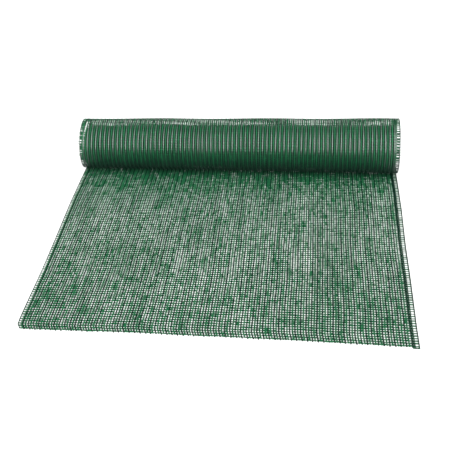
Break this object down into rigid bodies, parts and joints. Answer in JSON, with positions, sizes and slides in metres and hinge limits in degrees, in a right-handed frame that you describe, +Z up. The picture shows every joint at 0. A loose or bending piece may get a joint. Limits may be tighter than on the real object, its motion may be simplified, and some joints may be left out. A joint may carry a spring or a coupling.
{
  "type": "shade netting roll",
  "caption": "Length of green knitted shade netting, rolled up loosely on itself without a core, with its free end lying flat in front of the roll.",
  "frame": {"origin": "on the floor, under the middle of the whole: roll and free end together", "axes": "+X along the roll, from its thinner end to its thicker end; +Y from the free end's cut edge back to the roll; +Z up"},
  "size_m": [1.0073, 0.9668, 0.1692],
  "materials": {
    "net": "open knitted net of dark green polyethylene tape and yarn, slightly glossy"
  },
  "bodies": {
    "root": {"wound_roll": "net", "loose_end": "net"}
  },
  "joints": []
}
